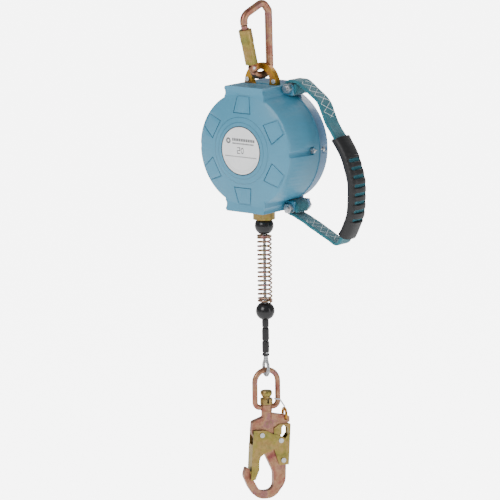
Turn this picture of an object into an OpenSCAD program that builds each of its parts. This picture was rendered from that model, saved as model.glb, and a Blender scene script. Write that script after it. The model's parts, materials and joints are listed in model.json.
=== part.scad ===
// Self retracting lifeline: anchor carabiner, case with brake drum, carry handle and snap hook.
// Millimetres, +Z up, front of the case towards -Y, origin on the inside top of the carabiner.

/* [Case] */
// Distance from the anchor point down to the middle of the case
case_drop = 204; // [202:1:206]
// Radius of the case at its parting line
seam_radius = 86.5; // [86:0.5:88]
// Radius of the case at its front edge
face_radius = 83; // [82:0.5:84]
// Half width of the flat blocks above and below the round case
block_half = 36; // [35:0.5:37]
// Height of the top and bottom blocks from the middle of the case
block_reach = 91; // [90:0.5:93]
// Thickness of the moulded walls
wall = 3.6; // [3:0.2:4]
// Radius of the round label on the face
label_radius = 35.5; // [30:0.5:36]

/* [Carabiner and bracket] */
// Diameter of the carabiner's bar
bar_d = 11; // [10:0.5:11]
// Turn of the carabiner's plane about the vertical
carabiner_turn = 72; // [68:1:76]
// Diameter of the locking sleeve
sleeve_d = 19; // [18:0.5:19.5]
// Thickness of one bracket plate
plate_t = 4; // [3.5:0.1:4]
// Outer width of the anchor bracket
bracket_w = 59; // [57:1:60]

/* [Line] */
// Diameter of the wire rope
cable_d = 4.8; // [4.6:0.1:4.8]
// Diameter of the two stop balls
ball_d = 27.5; // [26:0.5:28]
// Outer diameter of the bumper spring
spring_d = 22; // [20:0.5:23]
// Turns in the bumper spring
spring_turns = 17; // [14:1:18]
// Turn of the swivel bail about the vertical
bail_turn = 62; // [50:1:70]

/* [Snap hook] */
// Turn of the hook about the vertical
hook_turn = 56.5; // [45:0.5:65]
// Thickness of the forged hook
hook_t = 11; // [10:0.5:11]
// Thickness of the sheet of the gate and the lever
sheet_t = 1.8; // [1.5:0.1:2]

/* [Handle] */
// Width of the webbing
web_w = 27; // [25:0.5:27]
// Thickness of the doubled webbing
web_t = 5; // [4:0.5:5]
// Width of the rubber grip
grip_w = 32; // [30:1:34]

/* [Hidden] */
$fn = 64;
fit = 0.05;
gap = 0.3;
seam_y = 22;
seal_t = 1.6;
face_rim_y = -43;
case_back_y = 52;
bolt_x = 43;
bolt_z = 87;
left_drop = 6;
bolt_r = 4;
lug_front = [6, 9];
lug_back = [36, 43];
side_bolt_x = 84;
side_bolt_r = 2.6;
trough_r = 6.2;
pad_count = 6;
bracket_z = block_reach + 1.1;
anchor_hole_r = 16.2;
anchor_hole_z = 96.4;
plate_front_y = -41;
plate_back_y = 23;
axle_r = 10;
hub_r = 30;
flange_r = 62;
wound_r = 47.3;
lead_r = 50;
spacer_r = 70;
spacer_angles = [35, 145, 215, 325];
nozzle_z = -106;
upper_ball_z = -117.6;
lower_ball_z = -239;
spring_z = [-229.5, -128];
ratchet_teeth = 12;
ratchet_tip_r = 50;
ratchet_root_r = 55;
ratchet_face = -52;
pawl_pivot_r = 34;
pawl_y = [-29, -23.2];
eye_z = -328.3;
eye_r = 8.2;
leg_x = 2.6;
hook_z = -389.3;
hinge_uw = [-16.5, -88.6];
nose_uw = [-29.6, -28.5];
gate_lean = atan2(nose_uw.x - hinge_uw.x, nose_uw.y - hinge_uw.y);
gate_rivet = [-10.1, -34.2];
tail_pin = [18.7, -44];
lever_rivet = [22.6, -74.2];
strap_y = (lug_front[1] + lug_back[0]) / 2;
strap_loop_r = 7;
pocket_r = strap_loop_r + web_t + 0.4;

function unit(v) = v / norm(v);
function turn_of(a, b) = atan2(a.x * b.y - a.y * b.x, a * b);
function left_of(v) = [-v.y, v.x];
function polar(r, a) = [r * cos(a), r * sin(a)];

// Points along a line of straight runs whose corners are rounded to the given radii.
function rounded_path(pts, bends, step = 10) = [
    for (i = [0 : len(pts) - 1])
        if (i == 0 || i == len(pts) - 1 || bends[i] == 0) pts[i]
        else
            let (
                a = unit(pts[i] - pts[i - 1]),
                b = unit(pts[i + 1] - pts[i]),
                t = turn_of(a, b),
                side = t > 0 ? 1 : -1,
                start = pts[i] - a * bends[i] * tan(abs(t) / 2),
                centre = start + left_of(a) * side * bends[i],
                n = max(2, ceil(abs(t) / step))
            )
            for (k = [0 : n])
                let (w = t * k / n)
                centre - side * bends[i] * [
                    left_of(a).x * cos(w) - left_of(a).y * sin(w),
                    left_of(a).x * sin(w) + left_of(a).y * cos(w)
                ]
];

// The direction of a path at point i, the mean of the runs on its two sides.
function path_dir(p, i) =
    i == 0 ? unit(p[1] - p[0]) :
    i == len(p) - 1 ? unit(p[i] - p[i - 1]) :
    unit(unit(p[i + 1] - p[i]) + unit(p[i] - p[i - 1]));

module in_case() {
    translate([0, 0, -case_drop])
        children();
}

// Turns a flat drawing in x and z into a plate from y0 back to y1.
module plate(y0, y1) {
    translate([0, y1, 0])
        rotate([90, 0, 0])
            linear_extrude(y1 - y0)
                children();
}

// Revolves a drawing of radius and front reach about the Y axis.
module revolve_y() {
    rotate([90, 0, 0])
        rotate_extrude()
            children();
}

module rod_y(x, z, r, y0, y1, fn = 64) {
    translate([x, y1, z])
        rotate([90, 0, 0])
            cylinder(r = r, h = y1 - y0, $fn = fn);
}

module ring_y(r_out, r_in, y0, y1) {
    difference() {
        rod_y(0, 0, r_out, y0, y1);
        rod_y(0, 0, r_in, y0 - 1, y1 + 1);
    }
}

module rod_z(r, z0, z1) {
    translate([0, 0, z0])
        cylinder(r = r, h = z1 - z0);
}

module tube_z(r_out, r_in, z0, z1) {
    difference() {
        rod_z(r_out, z0, z1);
        rod_z(r_in, z0 - 1, z1 + 1);
    }
}

// Joins rings of points into a tube with capped ends, or into a closed loop.
module tube_of(points, sides, closed = false) {
    rings = len(points) / sides;
    last = rings - 1;
    walls = [
        for (i = [0 : closed ? last : last - 1])
            for (k = [0 : sides - 1])
                let (here = i * sides, next = (i + 1) % rings * sides, turn = (k + 1) % sides)
                [here + k, here + turn, next + turn, next + k]
    ];
    ends = closed ? [] : [
        [for (k = [sides - 1 : -1 : 0]) k],
        [for (k = [0 : sides - 1]) last * sides + k]
    ];
    polyhedron(points, concat(walls, ends), convexity = 10);
}

// A round bar bent along straight runs with rounded corners, in the XZ plane.
module bent_bar(pts, bends, d, sides = 12, closed = false) {
    path = rounded_path(pts, bends, 15);
    tube_of([
        for (i = [0 : len(path) - (closed ? 2 : 1)])
            for (k = [0 : sides - 1])
                let (side = left_of(path_dir(path, i)) * d / 2, b = 360 * k / sides)
                [path[i].x + side.x * cos(b), d / 2 * sin(b), path[i].y + side.y * cos(b)]
    ], sides, closed);
}

// A flat band of constant thickness along a path.
module band(path, t) {
    last = len(path) - 1;
    polygon(concat(
        [for (i = [0 : last]) path[i] + left_of(path_dir(path, i)) * t / 2],
        [for (i = [last : -1 : 0]) path[i] - left_of(path_dir(path, i)) * t / 2]
    ));
}

// ---- Carabiner ----

// The carabiner's own plane: x runs from its gate to its spine.
module in_carabiner() {
    rotate([0, 0, carabiner_turn])
        children();
}

// The gate's own axis: z runs from the hinge pin to the nose.
module on_gate() {
    in_carabiner()
        translate([hinge_uw.x, 0, hinge_uw.y])
            rotate([0, gate_lean, 0])
                children();
}

gate_length = norm(nose_uw - hinge_uw);
sleeve_z = [6, 57.5];

module carabiner_bow() {
    in_carabiner()
        bent_bar(
            [[-29.6, -26], [-32.3, -13.5], [2.5, 10.5], [11.6, -8], [13.1, -99.9], [-14, -101], hinge_uw],
            [0, 14, 8, 6, 14.9, 12, 0],
            bar_d,
            14
        );
}

// The hinge end is a tongue that the gate's fork straddles.
module carabiner_frame() {
    color([0.78, 0.60, 0.50])
        difference() {
            union() {
                carabiner_bow();
                on_gate()
                    rod_y(0, 0, 5, -2.4, 2.4);
            }
            on_gate() {
                for (y = [-12.4, 2.4])
                    translate([-9, y, -5.6])
                        cube([18, 10, 30]);
                rod_y(0, 0, 2, -10, 10);
            }
        }
}

module carabiner_gate_pin() {
    color([0.7, 0.68, 0.62])
        on_gate()
            rod_y(0, 0, 2, -4.6, 4.6);
}

module carabiner_gate() {
    color([0.76, 0.60, 0.48])
        on_gate()
            difference() {
                union() {
                    rod_z(4.9, 3, gate_length + 1.8);
                    rod_y(0, 0, 4.9, -4.6, 4.6);
                }
                translate([-6, -2.7, -6])
                    cube([12, 5.4, 12]);
                rod_y(0, 0, 2 + fit, -10, 10);
            }
}

module lock_sleeve() {
    flutes = 24;
    color([0.72, 0.68, 0.42])
        on_gate()
            difference() {
                union() {
                    rod_z(sleeve_d / 2 - 0.5, sleeve_z[0], sleeve_z[1]);
                    rod_z(sleeve_d / 2, sleeve_z[1] - 19, sleeve_z[1] - 1);
                }
                rod_z(5.2, sleeve_z[0] - 1, sleeve_z[1] + 1);
                translate([0, -2.5, sleeve_z[1] - 9])
                    cube([20, 5, 20]);
                for (i = [0 : flutes - 1])
                    rotate([0, 0, i * 360 / flutes])
                        translate([sleeve_d / 2 + 0.15, 0, sleeve_z[0] - 1])
                            cylinder(r = 1, h = 32, $fn = 16);
            }
}

// ---- Frame plates and anchor bracket ----

module bracket_outline(low) {
    half = bracket_w / 2;
    union() {
        translate([0, bracket_z])
            circle(half);
        translate([-half, low])
            square([bracket_w, bracket_z - low]);
    }
}

module frame_disc(y0, y1, r) {
    plate(y0, y1)
        union() {
            circle(r);
            for (a = spacer_angles)
                translate(polar(spacer_r, a))
                    circle(7);
            for (a = spacer_angles)
                rotate(a)
                    translate([0, -7])
                        square([spacer_r, 14]);
        }
}

// One side plate: a round plate beside the drum, a joggled neck and the arch above the case.
module frame_plate(y_disc, y_arch, hole_r) {
    y0 = y_disc;
    y1 = y_disc + 3;
    neck_low = 60.5;
    neck_high = 80;
    difference() {
        union() {
            frame_disc(y0, y1, 60);
            plate(y0, y1)
                translate([-27, 30])
                    square([54, neck_low - 27]);
            plate(y_arch, y_arch + plate_t)
                bracket_outline(neck_high - 2);
            translate([-27, 0, 0])
                rotate([90, 0, 90])
                    linear_extrude(54)
                        polygon([
                            [y0, neck_low], [y1, neck_low], [y_arch + plate_t, neck_high],
                            [y_arch + plate_t, neck_high + 3], [y_arch, neck_high + 3], [y0, neck_low + 3]
                        ]);
        }
        rod_y(0, anchor_hole_z, anchor_hole_r, -60, 60);
        rod_y(0, 0, hole_r, -60, 60);
        for (x = [-24, 24])
            rod_y(x, anchor_hole_z, 2.5, -60, 60);
        for (a = spacer_angles)
            rod_y(polar(spacer_r, a).x, polar(spacer_r, a).y, 3, -60, 60);
    }
}

module front_frame_plate() {
    color([0.80, 0.62, 0.25])
        in_case()
            frame_plate(plate_front_y, -plate_t, axle_r);
}

module rear_frame_plate() {
    color([0.78, 0.58, 0.25])
        in_case()
            frame_plate(plate_back_y, 0, 15);
}

module bracket_rivets() {
    color([0.8, 0.8, 0.82])
        in_case()
            for (x = [-24, 24]) {
                rod_y(x, anchor_hole_z, 2.5, -plate_t, plate_t);
                for (y = [-plate_t - 1.8, plate_t])
                    rod_y(x, anchor_hole_z, 3.6, y, y + 1.8);
            }
}

// ---- Case ----

// Front view of the case with its wall moved in by inset.
module case_outline(r, inset) {
    half = block_half - inset;
    reach = block_reach - inset;
    corner = 4;
    union() {
        circle(r - inset, $fn = 128);
        for (side = [-1, 1]) {
            translate([-half, side > 0 ? 0 : -(reach - corner)])
                square([2 * half, reach - corner]);
            translate([-half + corner, side > 0 ? reach - corner - 1 : -reach])
                square([2 * (half - corner), corner + 1]);
            for (x = [-1, 1])
                translate([x * (half - corner), side * (reach - corner)])
                    circle(corner, $fn = 32);
        }
    }
}

module front_solid(inset) {
    revolve_y()
        polygon([
            [0, 51.4 - inset], [label_radius + 2, 51.4 - inset], [label_radius + 5, 50.8 - inset],
            [label_radius + 10, 50 - inset], [face_radius - 6 - inset, -face_rim_y + 1.4 - inset],
            [face_radius - 1.4 - inset, -face_rim_y - 1 - inset], [face_radius - inset, -face_rim_y - 4 - inset],
            [seam_radius - inset, -seam_y + seal_t / 2], [0, -seam_y + seal_t / 2]
        ]);
    plate(face_rim_y + inset, seam_y - seal_t / 2)
        intersection() {
            case_outline(face_radius - 6, inset);
            square([2 * (block_half - inset), 200], center = true);
        }
}

module rear_solid(inset) {
    revolve_y()
        polygon([
            [0, -seam_y - seal_t / 2], [seam_radius - inset, -seam_y - seal_t / 2],
            [seam_radius - 3 - inset, -44 + inset], [seam_radius - 8 - inset, -50 + inset],
            [seam_radius - 16 - inset, -case_back_y + inset], [0, -case_back_y + inset]
        ]);
    plate(seam_y + seal_t / 2, 47 - inset)
        intersection() {
            case_outline(seam_radius - 16, inset);
            square([2 * (block_half - inset), 200], center = true);
        }
}

// Centre of a corner bolt; the two on the side without a handle sit closer to the middle.
function bolt_at(side, end) = [side * bolt_x, end * (side > 0 ? bolt_z : bolt_z - left_drop)];

module at_corners(sides = [-1, 1]) {
    for (side = sides)
        for (end = [-1, 1])
            translate([bolt_at(side, end).x, 0, bolt_at(side, end).y])
                children();
}

// A lug beside a block that takes a corner bolt.
module lug(side, y0, y1) {
    for (end = [-1, 1])
        plate(y0, y1)
            translate(bolt_at(side, end)) {
                translate([0, -end * 4])
                    square([16, 12], center = true);
                translate([0, -end * 2])
                    circle(8);
                translate([-side * 8, -end * 4])
                    square([16, 12], center = true);
            }
}

module pocket_walls(y0, y1) {
    intersection() {
        at_corners([1])
            rod_y(0, 0, 15.6, y0, y1);
        plate(y0, y1)
            square([2 * block_half, 2 * block_reach], center = true);
    }
}

module side_boss(y0, y1) {
    for (x = [-side_bolt_x, side_bolt_x])
        rod_y(x, 0, 9, y0, y1);
}

// The shallow trapezoid frames pressed into the face.
module face_pads() {
    slope = 8;
    for (i = [0 : pad_count - 1])
        rotate([0, i * 360 / pad_count, 0])
            translate([0, -46.6, 66])
                rotate([90 - slope, 0, 0])
                    linear_extrude(3, center = true)
                        difference() {
                            polygon([[-15.5, -12.5], [15.5, -12.5], [11, 12.5], [-11, 12.5]]);
                            polygon([[-14.4, -11.5], [14.4, -11.5], [10, 11.5], [-10, 11.5]]);
                        }
}

module front_cover() {
    color([0.40, 0.63, 0.76])
        in_case()
            difference() {
                union() {
                    difference() {
                        front_solid(0);
                        front_solid(wall);
                    }
                    intersection() {
                        front_solid(0);
                        side_boss(-34, seam_y);
                    }
                    pocket_walls(lug_front[0], seam_y - seal_t / 2);
                    lug(1, lug_front[0], lug_front[1]);
                    lug(-1, lug_front[0], seam_y - seal_t / 2);
                }
                at_corners([1])
                    rod_y(0, 0, pocket_r, lug_front[1], 60);
                at_corners() {
                    rod_y(0, 0, bolt_r + 0.1, -60, 60);
                    rod_y(0, 0, 9, -60, lug_front[0]);
                }
                for (x = [-1, 1]) {
                    rod_y(x * (side_bolt_x + 2.5), 0, trough_r, -70, 9.5);
                    rod_y(x * (side_bolt_x - 0.5), 0, side_bolt_r + 0.1, -20, 60);
                }
                rod_y(0, 0, label_radius + 0.2, -60, -50.4);
                face_pads();
                translate([-bracket_w / 2 - 1, -plate_t - 1, 60])
                    cube([bracket_w + 2, 2 * plate_t + 2, 60]);
                translate([0, 0, -block_reach - 10])
                    cylinder(r = 16.2, h = 30);
                for (a = spacer_angles)
                    rod_y(polar(spacer_r, a).x, polar(spacer_r, a).y, 7.3, plate_front_y - gap, -30);
            }
}

module rear_cover() {
    color([0.43, 0.60, 0.74])
        in_case()
            difference() {
                union() {
                    difference() {
                        rear_solid(0);
                        rear_solid(wall);
                    }
                    intersection() {
                        rear_solid(0);
                        side_boss(seam_y, 43);
                    }
                    pocket_walls(seam_y + seal_t / 2, lug_back[1]);
                    lug(1, lug_back[0], lug_back[1]);
                    lug(-1, seam_y + seal_t / 2, lug_back[1]);
                }
                at_corners([1])
                    rod_y(0, 0, pocket_r, 0, lug_back[0]);
                at_corners() {
                    rod_y(0, 0, bolt_r + 0.1, -60, 60);
                    rod_y(0, 0, 9, lug_back[1], 60);
                }
                for (x = [-1, 1]) {
                    rod_y(x * (side_bolt_x + 2.5), 0, trough_r, 29, 70);
                    rod_y(x * (side_bolt_x - 0.5), 0, side_bolt_r + 0.1, 20, 60);
                }
            }
}

module case_seal() {
    color([0.36, 0.58, 0.72])
        in_case()
            difference() {
                plate(seam_y - seal_t / 2, seam_y + seal_t / 2)
                    difference() {
                        case_outline(seam_radius + 0.7, 0);
                        case_outline(seam_radius, wall);
                    }
                at_corners([1])
                    rod_y(0, 0, pocket_r, 0, 60);
                at_corners([-1])
                    rod_y(0, 0, bolt_r + 0.1, 0, 60);
                for (x = [-1, 1])
                    rod_y(x * (side_bolt_x - 0.5), 0, side_bolt_r + 0.1, 0, 60);
            }
}

module label_rim() {
    color([0.1, 0.12, 0.15])
        in_case()
            ring_y(label_radius, label_radius - 1.2, -51.6, -50.4);
}

module label_disc() {
    color([0.95, 0.95, 0.95])
        in_case()
            rod_y(0, 0, label_radius - 1.2, -51.3, -50.4);
}

module case_bolts() {
    color([0.72, 0.72, 0.74])
        in_case()
            at_corners() {
                rod_y(0, 0, bolt_r, -3, lug_back[1]);
                rod_y(0, 0, 7.5, lug_back[1], lug_back[1] + 5, fn = 6);
            }
}

module case_nuts() {
    color([0.82, 0.82, 0.84])
        in_case()
            at_corners()
                difference() {
                    rod_y(0, 0, 7.5, -0.5, lug_front[0], fn = 6);
                    rod_y(0, 0, bolt_r, -3, 10);
                }
}

module side_screws() {
    color([0.8, 0.8, 0.82])
        in_case()
            for (x = [-1, 1])
                difference() {
                    union() {
                        rod_y(x * (side_bolt_x - 0.5), 0, side_bolt_r, 9.5, 29);
                        rod_y(x * (side_bolt_x + 0.5), 0, 3.8, 6, 9.5);
                        rod_y(x * (side_bolt_x + 0.5), 0, 3.8, 29, 32, fn = 6);
                    }
                    rod_y(x * (side_bolt_x + 0.5), 0, 1.8, 4, 7.5, fn = 6);
                }
}

module bolt_sleeves() {
    color([0.6, 0.6, 0.62])
        in_case()
            at_corners([1])
                difference() {
                    rod_y(0, 0, strap_loop_r - 0.1, lug_front[1], lug_back[0]);
                    rod_y(0, 0, bolt_r, 0, 60);
                }
}

// ---- Inside the case ----

module frame_spacers() {
    color([0.66, 0.66, 0.68])
        in_case()
            for (a = spacer_angles)
                translate([polar(spacer_r, a).x, 0, polar(spacer_r, a).y])
                    ring_y(5.5, 3, plate_front_y + 3, plate_back_y);
}

module frame_screws() {
    color([0.75, 0.75, 0.77])
        in_case()
            for (a = spacer_angles)
                translate([polar(spacer_r, a).x, 0, polar(spacer_r, a).y]) {
                    rod_y(0, 0, 3, plate_front_y, plate_back_y + 3);
                    rod_y(0, 0, 5, plate_back_y + 3, plate_back_y + 6.5, fn = 6);
                }
}

module main_axle() {
    color([0.68, 0.68, 0.70])
        in_case() {
            rod_y(0, 0, axle_r, plate_front_y, 42);
            rod_y(0, 0, 14, plate_front_y - 2.5, plate_front_y);
            rod_y(0, 0, 6, 42, 47.5);
        }
}

module axle_nut() {
    color([0.75, 0.75, 0.77])
        in_case()
            difference() {
                rod_y(0, 0, 10, 44.2, 47.5, fn = 6);
                rod_y(0, 0, 6, 40, 50);
            }
}

module power_spring_case() {
    color([0.7, 0.7, 0.72])
        in_case()
            difference() {
                rod_y(0, 0, 57, plate_back_y + 3, 44.2);
                rod_y(0, 0, 55, plate_back_y + 2, 42.4);
                rod_y(0, 0, 6, 30, 60);
            }
}

// A flat spiral: the strip's radius grows evenly with its angle.
module power_spring() {
    r_in = 16.5;
    pitch = 4.4;
    turns = 8.5;
    strip = 1.2;
    steps = 24 * turns;
    path = [for (i = [0 : steps]) polar(r_in + pitch * turns * i / steps, 360 * turns * i / steps)];
    color([0.45, 0.47, 0.52])
        in_case()
            plate(plate_back_y + 4.5, 41.5)
                band(path, strip);
}

module line_nozzle() {
    color([0.70, 0.66, 0.50])
        in_case()
            difference() {
                union() {
                    rod_z(16, nozzle_z, -82);
                    rod_z(20, -86.8, -82);
                }
                rod_z(7, nozzle_z + 3, -80);
                translate([0, 0, nozzle_z - 0.01])
                    cylinder(r1 = 10, r2 = 5.4, h = 4.2);
            }
}

module nozzle_bush() {
    color([0.15, 0.15, 0.16])
        in_case()
            difference() {
                union() {
                    rod_z(7, nozzle_z + 4.2, -82);
                    rod_z(10, -82, -80);
                }
                rod_z(cable_d / 2 + 0.6, -200, -70);
                translate([0, 0, -84])
                    cylinder(r1 = cable_d / 2 + 0.6, r2 = 6, h = 4.1);
            }
}

// The rope's way from the wound layers to the nozzle, fixed while the drum turns under it.
module cable_lead() {
    low = [0, -80];
    a = -90 + acos(lead_r / norm(low));
    color([0.7, 0.72, 0.74])
        in_case()
            bent_bar([polar(lead_r, a), low, [0, -96]], [0, 12, 0], cable_d);
}

module friction_discs() {
    color([0.35, 0.25, 0.18])
        in_case() {
            ring_y(22, axle_r, -38, -36.5);
            ring_y(22, axle_r, -32.9, -31.4);
        }
}

module pressure_plate() {
    color([0.66, 0.66, 0.68])
        in_case()
            ring_y(21, axle_r, -31.4, -29.4);
}

module disc_spring() {
    color([0.5, 0.5, 0.54])
        in_case()
            difference() {
                revolve_y()
                    polygon([[axle_r, 27.9], [17, 28.8], [17, 29.4], [axle_r, 29]]);
                rod_y(0, 0, axle_r, -60, 60);
            }
}

module brake_nut() {
    color([0.75, 0.75, 0.77])
        in_case()
            difference() {
                rod_y(0, 0, 16, -27.9, -23.5, fn = 6);
                rod_y(0, 0, axle_r, -60, 60);
            }
}

// The ring's teeth point inwards: each has a radial locking face and a long ramp.
module ratchet_ring() {
    pitch = 360 / ratchet_teeth;
    steps = 5;
    points = [
        for (i = [0 : ratchet_teeth - 1])
            for (k = [0 : steps])
                polar(
                    ratchet_root_r + (ratchet_tip_r - ratchet_root_r) * k / steps,
                    ratchet_face + i * pitch + pitch * k / steps
                )
    ];
    color([0.62, 0.60, 0.52])
        in_case()
            difference() {
                rod_y(0, 0, 59, -36.2, pawl_y[1]);
                plate(-33.2, 0)
                    polygon(points);
                rod_y(0, 0, axle_r + gap, -60, 60);
            }
}

module cable_drum() {
    color([0.66, 0.67, 0.70])
        in_case()
            difference() {
                union() {
                    rod_y(0, 0, hub_r, -18, 18);
                    rod_y(0, 0, flange_r, -21, -18);
                    rod_y(0, 0, flange_r, 18, 21);
                }
                rod_y(0, 0, 13, -30, 30);
                for (i = [0 : 5])
                    rotate([0, 60 * i + 30, 0])
                        rod_y(21.5, 0, 5, -30, 30);
            }
}

module wound_cable() {
    color([0.74, 0.75, 0.77])
        in_case()
            difference() {
                revolve_y()
                    polygon(concat(
                        [[hub_r, 18], [hub_r, -18]],
                        [for (i = [0 : 28]) [wound_r - 0.7 + 0.7 * abs(cos(i * 45)), -18 + i * 36 / 28]]
                    ));
                rod_y(0, 0, hub_r, -60, 60);
            }
}

module drum_bushes() {
    color([0.75, 0.6, 0.3])
        in_case()
            for (y = [-21, 9])
                ring_y(13, axle_r + fit, y, y + 12);
}

module spring_arbor() {
    color([0.6, 0.6, 0.62])
        in_case()
            ring_y(14, axle_r + gap, 21, 41.5);
}

module at_pawls() {
    for (i = [0, 1])
        rotate([0, 180 * i, 0])
            translate([pawl_pivot_r, 0, 0])
                children();
}

module pawl_pins() {
    color([0.75, 0.75, 0.77])
        in_case()
            at_pawls()
                rod_y(0, 0, 2.5, pawl_y[0] - 1.5, -21);
}

// A return spring beside each pawl: a short coil round the pin's root and one leg.
module pawl_springs() {
    color([0.5, 0.5, 0.54])
        in_case()
            at_pawls() {
                ring_y(4.6, 3.6, -22.6, -21);
                translate([-12, -22.6, 3.7])
                    cube([12, 1.2, 1]);
            }
}

module pawl() {
    translate([pawl_pivot_r, 0, 0])
        difference() {
            union() {
                rod_y(0, 0, 6.5, pawl_y[0], pawl_y[1]);
                plate(pawl_y[0], pawl_y[1])
                    polygon([[-6, -1], [6, -1], [1, -34], [-1.2, -36.5], [-6, -38.2], [-9, -37], [-10, -28]]);
            }
            rod_y(0, 0, 2.5 + fit, -60, 60);
        }
}

module pawl_a() {
    color([0.58, 0.56, 0.50])
        in_case()
            pawl();
}

module pawl_b() {
    color([0.58, 0.56, 0.50])
        in_case()
            rotate([0, 180, 0])
                pawl();
}

// ---- Line below the case ----

module lifeline_cable() {
    color([0.72, 0.74, 0.76])
        in_case()
            rod_z(cable_d / 2, lower_ball_z + 12, -96);
}

module stop_ball(z) {
    difference() {
        translate([0, 0, z])
            sphere(d = ball_d);
        rod_z(cable_d / 2 + gap, z - 20, z + 20);
        translate([0, 0, z])
            children();
    }
}

module upper_ball() {
    color([0.10, 0.10, 0.11])
        in_case()
            stop_ball(upper_ball_z)
                rod_z(spring_d / 2 + 2, -20, spring_z[1] - upper_ball_z + 1);
}

module lower_ball() {
    color([0.10, 0.10, 0.11])
        in_case()
            stop_ball(lower_ball_z)
                rod_z(spring_d / 2 + 2, spring_z[0] - lower_ball_z - 0.5, 20);
}

// The bumper spring: a wire of eight sides swept along a helix.
module bumper_spring() {
    wire_r = 1.1;
    mean_r = spring_d / 2 - wire_r;
    z0 = spring_z[0] + 0.7;
    z1 = spring_z[1] - 0.2;
    steps = 20 * spring_turns;
    sides = 6;
    rings = [
        for (i = [0 : steps])
            for (k = [0 : sides - 1])
                let (
                    a = 360 * spring_turns * i / steps,
                    b = 360 * k / sides,
                    r = mean_r + wire_r * cos(b)
                )
                [r * cos(a), r * sin(a), z0 + wire_r + (z1 - z0 - 2 * wire_r) * i / steps + wire_r * sin(b)]
    ];
    color([0.62, 0.60, 0.52])
        in_case()
            tube_of(rings, sides);
}

// A straight stretch of rope, then an eye whose two legs lie side by side in the sleeve.
module cable_eye() {
    color([0.70, 0.72, 0.74])
        in_case() {
            rod_z(cable_d / 2, -298, lower_ball_z + 12);
            rotate([0, 0, bail_turn - 90])
                translate([0, 0, eye_z])
                    bent_bar(
                        [
                            [-leg_x, 30], [-leg_x, 16], [-eye_r, 7], [-eye_r, -eye_r],
                            [eye_r, -eye_r], [eye_r, 7], [leg_x, 16], [leg_x, 30]
                        ],
                        [0, 8, 6, eye_r - 0.01, eye_r - 0.01, 6, 8, 0],
                        cable_d
                    );
        }
}

module rope_sleeve(r, z0, z1, bore) {
    difference() {
        rod_z(r, z0, z1);
        rod_z(bore, z0 - 1, z1 + 1);
    }
}

module stop_sleeve() {
    color([0.12, 0.12, 0.13])
        in_case()
            rope_sleeve(5.25, -265.5, -252.8, cable_d / 2);
}

module ferrule_sleeve() {
    color([0.13, 0.13, 0.14])
        in_case()
            rope_sleeve(5.25, -285, -266.3, cable_d / 2);
}

module tail_sleeve() {
    color([0.12, 0.12, 0.13])
        in_case()
            difference() {
                rod_z(5.3, -307.6, -285.8);
                rod_z(cable_d / 2, -298, -200);
                rotate([0, 0, bail_turn - 90])
                    for (x = [-leg_x, leg_x])
                        translate([x, 0, -320])
                            cylinder(d = cable_d, h = 320 - 298);
            }
}

// The thimble lines the lower half of the eye.
module thimble() {
    color([0.75, 0.76, 0.78])
        in_case()
            rotate([0, 0, bail_turn - 90])
                translate([0, 0, eye_z])
                    difference() {
                        rod_y(0, 0, eye_r - cable_d / 2, -2.2, 2.2);
                        rod_y(0, 0, 4.6, -5, 5);
                        translate([-10, -5, 0])
                            cube([20, 10, 10]);
                    }
}

module in_bail() {
    in_case()
        rotate([0, 0, bail_turn])
            children();
}

bail_half = 18;
bail_top = eye_z - 0.3;
bail_low = -383.6;

module swivel_bail() {
    color([0.74, 0.58, 0.50])
        difference() {
            in_bail() {
                bent_bar(
                    [
                        [0, bail_top], [bail_half, bail_top], [bail_half, bail_low],
                        [-bail_half, bail_low], [-bail_half, bail_top], [0, bail_top]
                    ],
                    [0, bail_half - 0.5, 8, 8, bail_half - 0.5, 0],
                    8,
                    closed = true
                );
                rod_z(8.3, hook_z + gap, -380);
            }
            in_bail()
                rod_z(4.5 + gap, -400, -370);
        }
}

// A short tie wire bent over the bail's lower corner.
module bail_wire() {
    color([0.78, 0.79, 0.82])
        in_bail()
            translate([0, -5.2, 0])
                bent_bar([[10.5, -371.5], [19, -373], [26.5, -384.6]], [0, 5, 0], 2.2);
}

// ---- Snap hook ----

module in_hook() {
    in_case()
        translate([0, 0, hook_z])
            rotate([0, 0, hook_turn])
                children();
}

module hook_layer(t0, t1, points) {
    plate(t0, t1)
        polygon(points);
}

module hook_frame() {
    outline = rounded_path(
        [
            [0, -2], [-7.8, -9], [-23, -14.5], [-24.6, -30], [-16, -50], [-14, -57], [-5, -62.5], [8.4, -92],
            [8, -118.8], [-13, -118.8], [-27.5, -92], [-29, -83.5], [-34, -81], [-37.5, -94], [-30, -112],
            [-18, -130.3], [9, -130.3], [26.5, -108], [27.2, -83], [26, -70], [13.5, -58], [11, -46], [11, -30],
            [16, -22.5], [33.5, -18], [33.5, -9.5], [7.8, -4]
        ],
        [0, 0, 4, 6, 4, 3, 6, 20, 11, 12, 5, 1.5, 2, 12, 30, 22, 22, 25, 10, 6, 6, 6, 5, 4, 2, 2, 0],
        12
    );
    color([0.80, 0.55, 0.42])
        in_hook()
            difference() {
                union() {
                    hook_layer(-hook_t / 2, hook_t / 2, outline);
                    rod_z(7.8, -13.5, 0);
                    rod_y(gate_rivet.x, gate_rivet.y, 6, -7.7, 7.7);
                }
                rod_z(4.5, -10, 1);
                rod_y(gate_rivet.x, gate_rivet.y, 2.5, -20, 20);
                rod_y(lever_rivet.x, lever_rivet.y, 2.5, -20, 20);
                rod_y(27.5, -13, 2.1, -20, 20);
            }
}

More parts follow.
